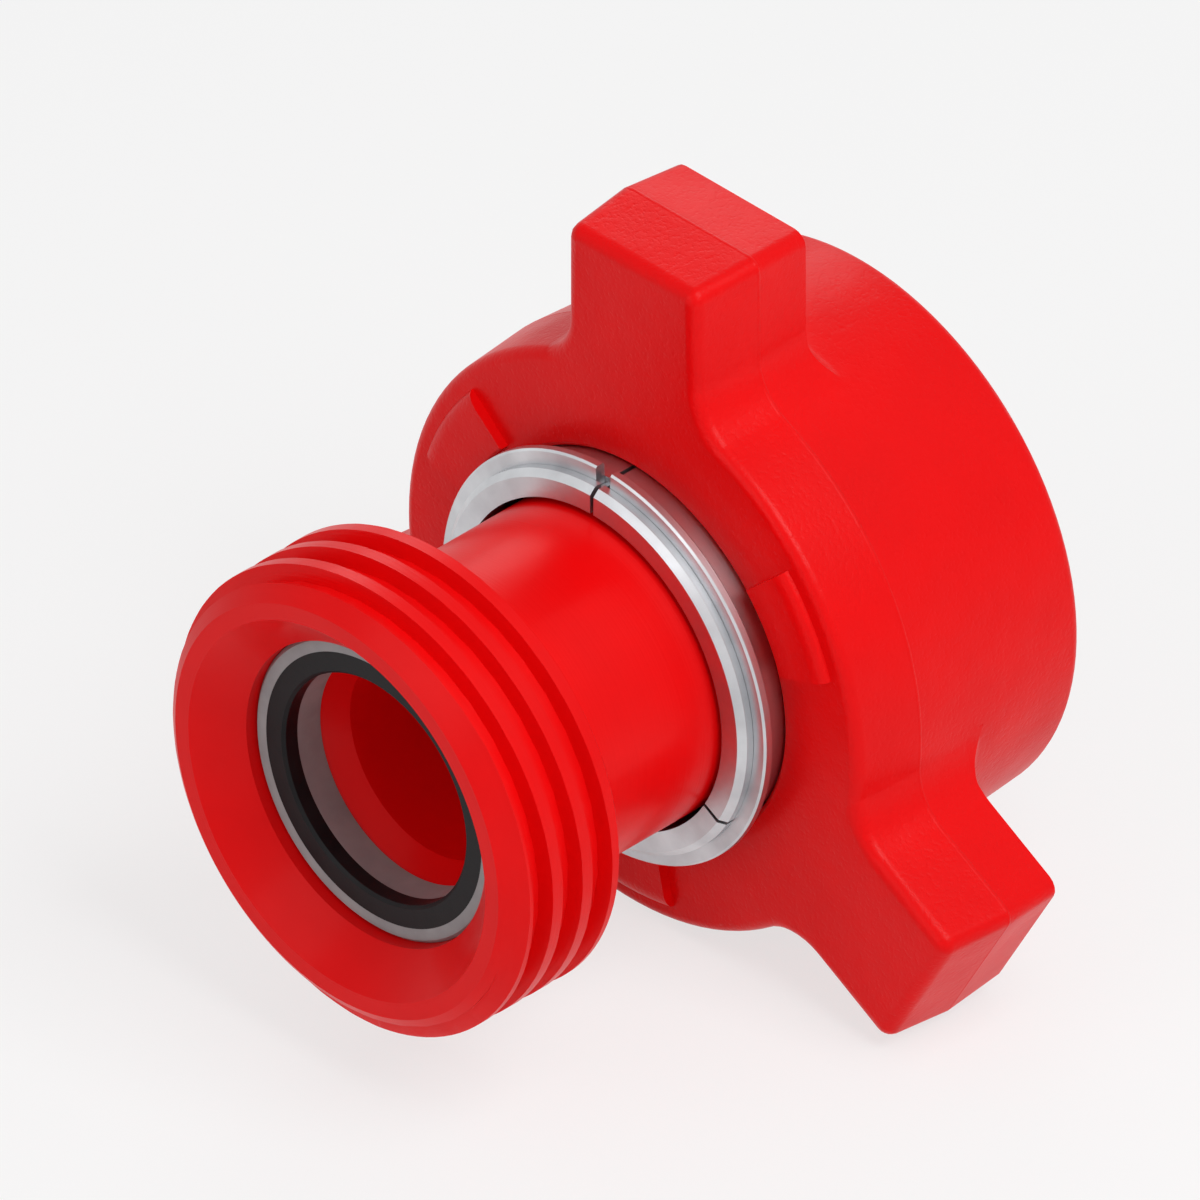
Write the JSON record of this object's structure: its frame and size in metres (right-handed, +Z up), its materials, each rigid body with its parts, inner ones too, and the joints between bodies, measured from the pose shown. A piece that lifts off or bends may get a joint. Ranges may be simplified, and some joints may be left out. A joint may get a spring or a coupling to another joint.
{
  "type": "hammer union pup joint",
  "caption": "Short high-pressure pipe joint with a threaded female hub and lip seal at one end and a ball nose with a captive lugged wing nut at the other.",
  "frame": {"origin": "on the axis of the flow bore, halfway between the hub's end face and the tip of the ball nose", "axes": "+X along the pipe from the threaded hub to the nut, +Z up through one hammer lug, +Y to the left when looking along +X"},
  "size_m": [0.1365, 0.1658, 0.1464],
  "materials": {
    "red_paint": "semi-gloss red enamel on forged and machined steel",
    "seal_rubber": "satin grey moulded rubber",
    "seal_insert": "matte black filled plastic",
    "bare_steel": "fine turned bare steel"
  },
  "bodies": {
    "pup": {"pup_joint": "red_paint", "seal_ring": "seal_rubber", "seal_insert": "seal_insert"},
    "retainer": {"retainer_segment_1": "bare_steel", "retainer_segment_2": "bare_steel", "retainer_segment_3": "bare_steel", "snap_ring": "bare_steel"},
    "nut": {"wing_nut": "red_paint"}
  },
  "joints": [
    {"name": "retainer_slide", "type": "slide", "parent": "pup", "child": "retainer", "axis": [1, 0, 0], "range_m": [-0.031, 0]},
    {"name": "nut_spin", "type": "hinge", "parent": "retainer", "child": "nut", "pos_m": [0.047, 0, 0], "axis": [1, 0, 0], "continuous": true}
  ]
}
